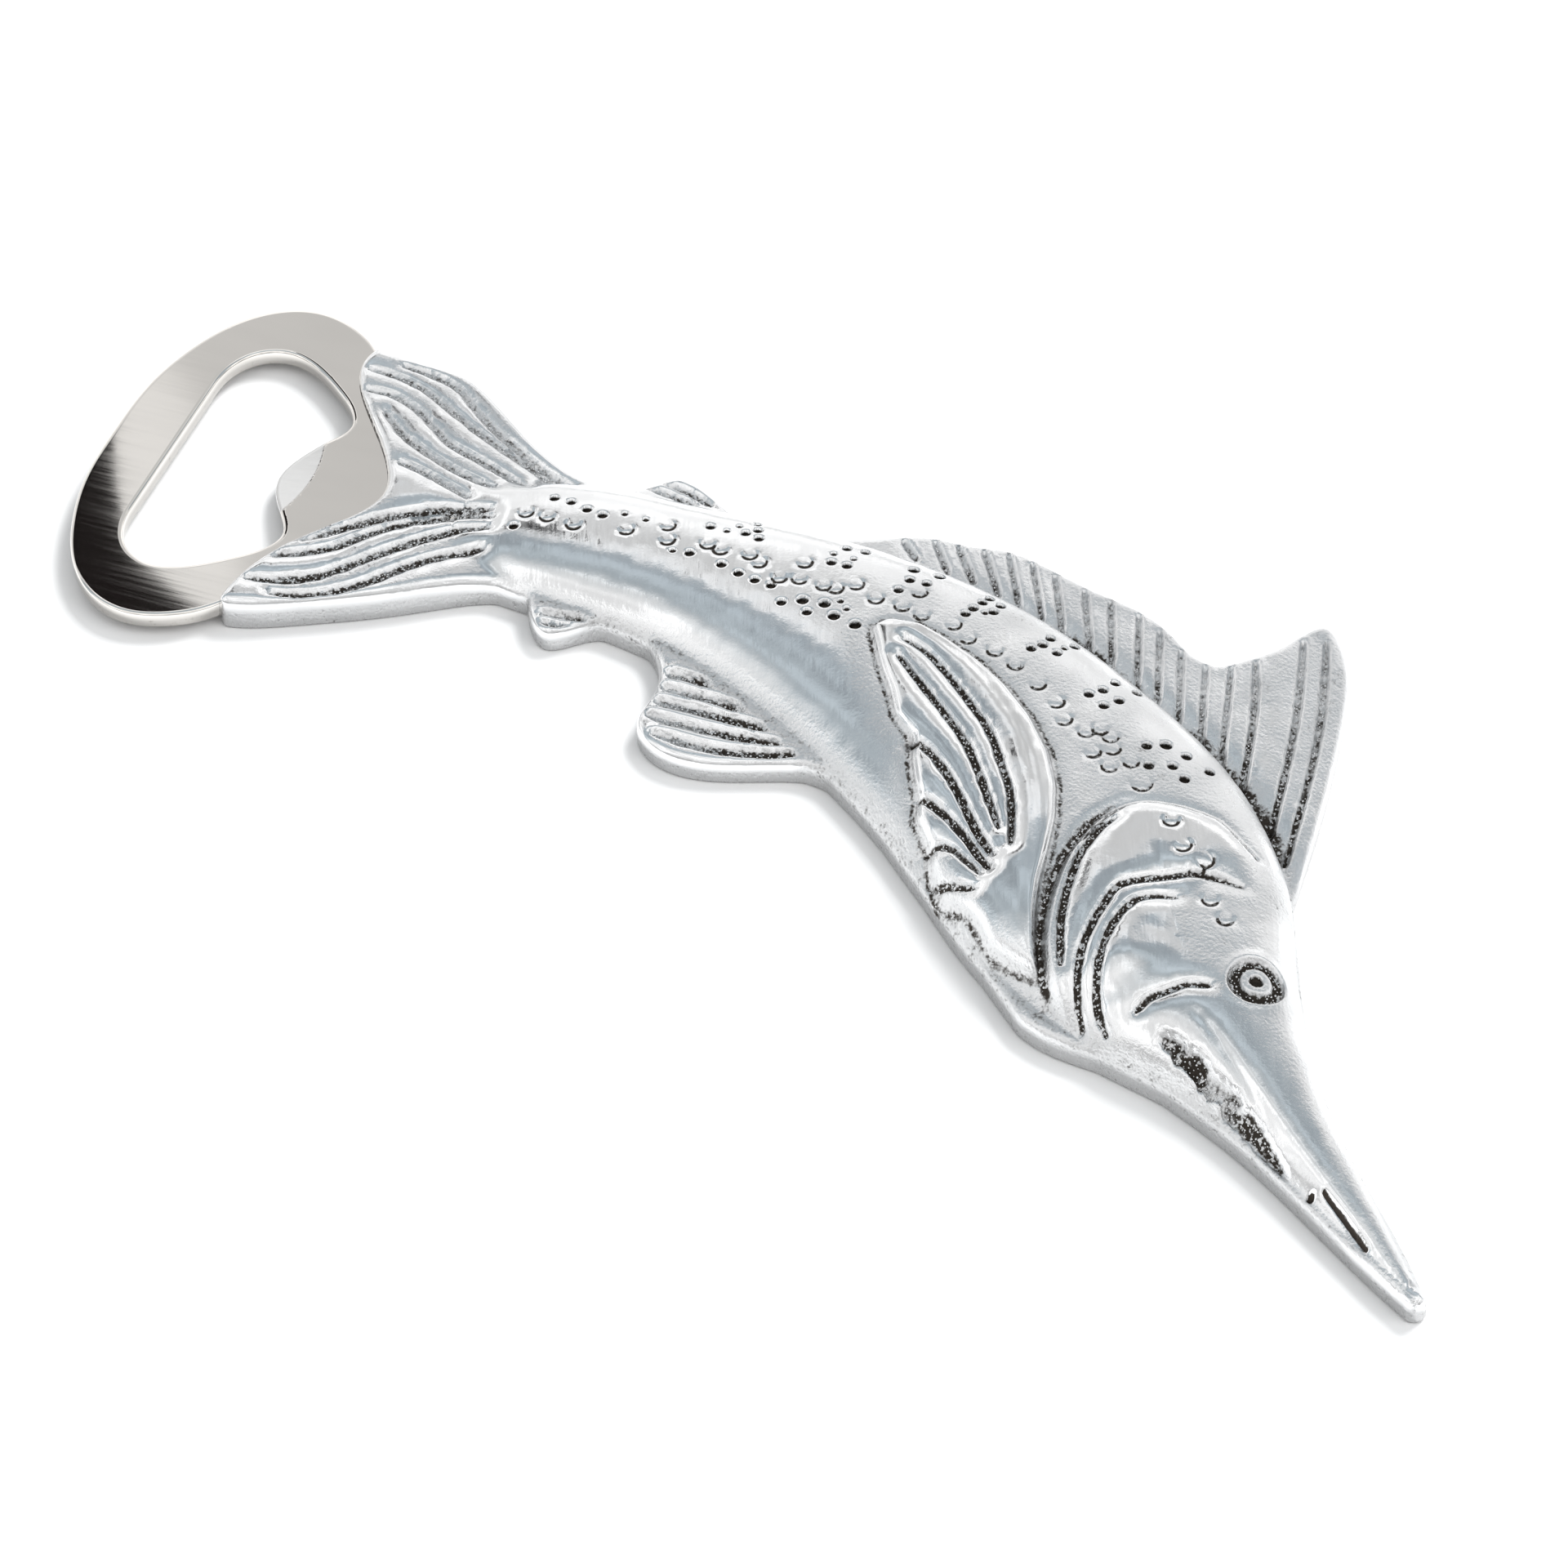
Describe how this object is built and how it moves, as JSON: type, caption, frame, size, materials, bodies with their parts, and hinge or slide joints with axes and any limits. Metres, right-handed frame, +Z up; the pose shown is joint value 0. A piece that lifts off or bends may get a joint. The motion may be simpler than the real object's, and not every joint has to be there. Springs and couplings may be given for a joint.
{
  "type": "souvenir bottle opener",
  "caption": "Flat-backed cast billfish handle with raised fins and gill arcs, and a stamped steel ring with a rounded tooth set in its forked tail for lifting crown caps.",
  "frame": {"origin": "under the middle of the whole opener, on the plane of its flat back", "axes": "+X from the steel ring towards the fish's bill, +Y to the fish's back, +Z up out of the relief"},
  "size_m": [0.1814, 0.1026, 0.0114],
  "materials": {
    "plate_steel": "satin brushed stainless steel",
    "cast_aluminium": "polished sand-cast aluminium with dark rough recesses"
  },
  "bodies": {
    "root": {"opener_plate": "plate_steel", "fish_handle": "cast_aluminium"}
  },
  "joints": []
}
